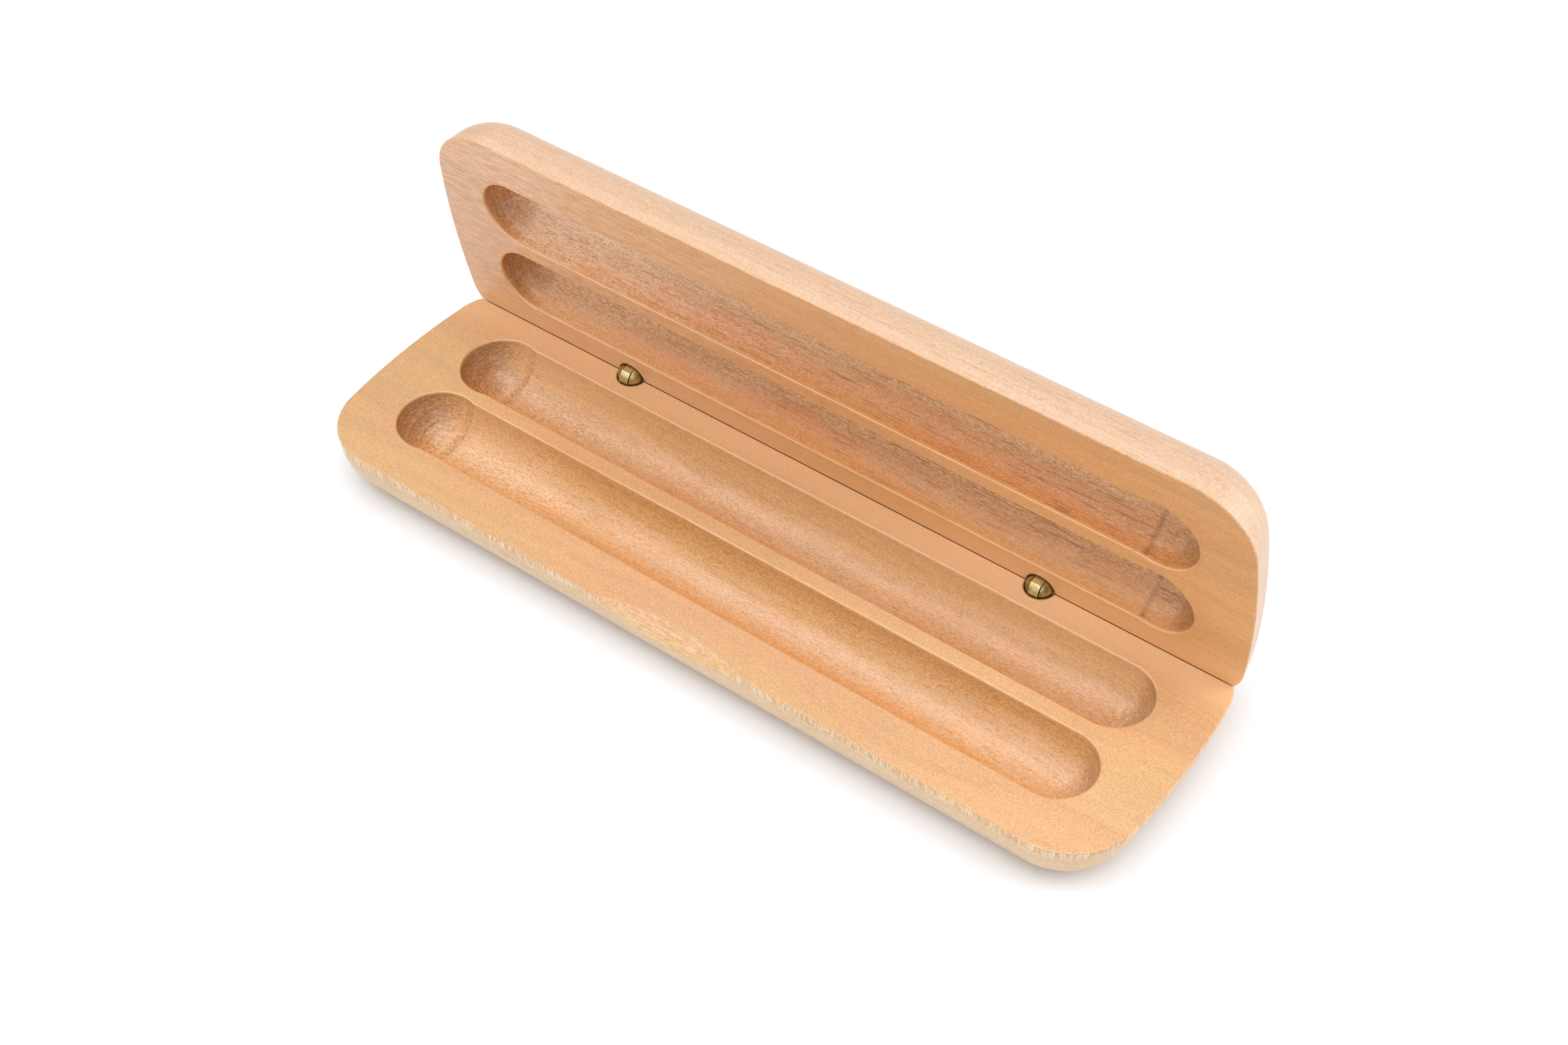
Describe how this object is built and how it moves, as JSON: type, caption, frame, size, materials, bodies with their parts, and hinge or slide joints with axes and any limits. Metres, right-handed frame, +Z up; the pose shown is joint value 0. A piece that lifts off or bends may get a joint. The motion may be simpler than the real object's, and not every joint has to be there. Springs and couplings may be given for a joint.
{
  "type": "fountain pen case",
  "caption": "Hinged wooden pen case shown open: rounded base and lid shells with long ball-nosed pen grooves, a thumb scoop, and brass barrel hinges.",
  "frame": {"origin": "middle of the flat underside of the base, midway along the case and midway between its front edge and its back edge", "axes": "+X along the case's length to the right, +Y to the hinge side, +Z up out of the underside; the lid stands open at 83 degrees to the base"},
  "size_m": [0.1748, 0.0586, 0.0592],
  "materials": {
    "wood": "fine sanded close-grained hardwood with a thin oil finish",
    "brass": "turned brass, lightly tarnished"
  },
  "bodies": {
    "base": {"base": "wood", "left_hinge_lower_barrel": "brass", "left_hinge_pin": "brass", "right_hinge_lower_barrel": "brass", "right_hinge_pin": "brass"},
    "lid": {"lid": "wood", "left_hinge_upper_barrel": "brass", "right_hinge_upper_barrel": "brass"}
  },
  "joints": [
    {"name": "lid_hinge", "type": "hinge", "parent": "base", "child": "lid", "pos_m": [0, 0.02125, 0.0117], "axis": [1, 0, 0], "range_deg": [0, 83]}
  ]
}
